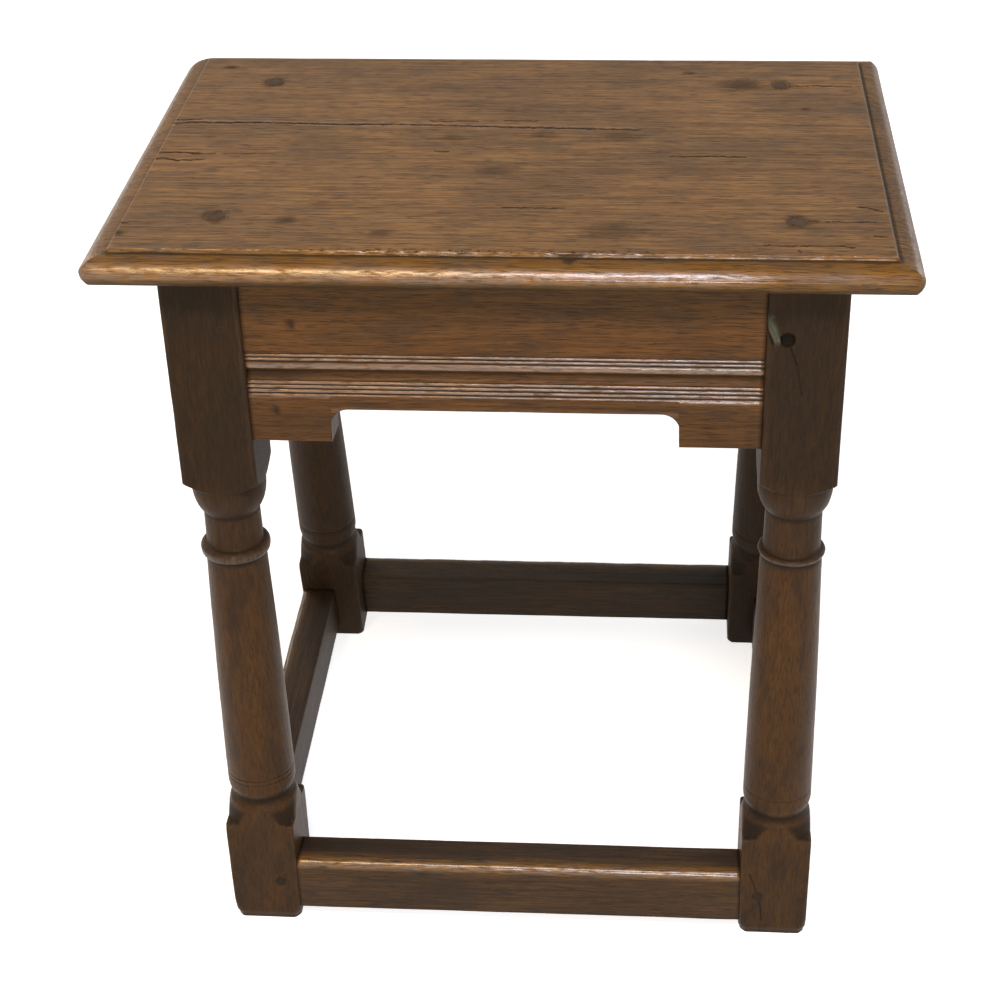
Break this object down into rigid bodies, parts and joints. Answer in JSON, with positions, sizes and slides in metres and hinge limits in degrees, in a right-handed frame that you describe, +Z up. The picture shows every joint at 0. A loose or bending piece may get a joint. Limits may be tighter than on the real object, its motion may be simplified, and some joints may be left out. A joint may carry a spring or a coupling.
{
  "type": "joint stool",
  "caption": "Oak joint stool: moulded seat board pegged to a splayed frame of turned legs, run-moulded arched rails and low box stretchers.",
  "frame": {"origin": "on the floor, under the middle of the seat", "axes": "+Z up, +X along the front to the stool's right as it is looked at, +Y from the front to the back"},
  "size_m": [0.483, 0.3658, 0.525],
  "materials": {
    "oak_seat": "worn, waxed oak with an open grain, warm mid brown",
    "oak_legs": "dark waxed oak, old and rubbed",
    "oak_rails": "polished oak, reddish brown",
    "oak_stretchers": "dark oak, worn by feet along the upper edges",
    "oak_pegs": "end grain of riven oak, nearly black"
  },
  "bodies": {
    "root": {"seat_board": "oak_seat", "leg_front_left": "oak_legs", "leg_front_right": "oak_legs", "leg_back_left": "oak_legs", "leg_back_right": "oak_legs", "rail_front": "oak_rails", "rail_back": "oak_rails", "rail_left": "oak_rails", "rail_right": "oak_rails", "stretcher_front": "oak_stretchers", "stretcher_back": "oak_stretchers", "stretcher_left": "oak_stretchers", "stretcher_right": "oak_stretchers", "pegs_seat": "oak_pegs", "pegs_rail_front": "oak_pegs", "pegs_rail_back": "oak_pegs", "pegs_rail_left": "oak_pegs", "pegs_rail_right": "oak_pegs", "pegs_stretcher_front": "oak_pegs", "pegs_stretcher_back": "oak_pegs", "pegs_stretcher_left": "oak_pegs", "pegs_stretcher_right": "oak_pegs"}
  },
  "joints": []
}
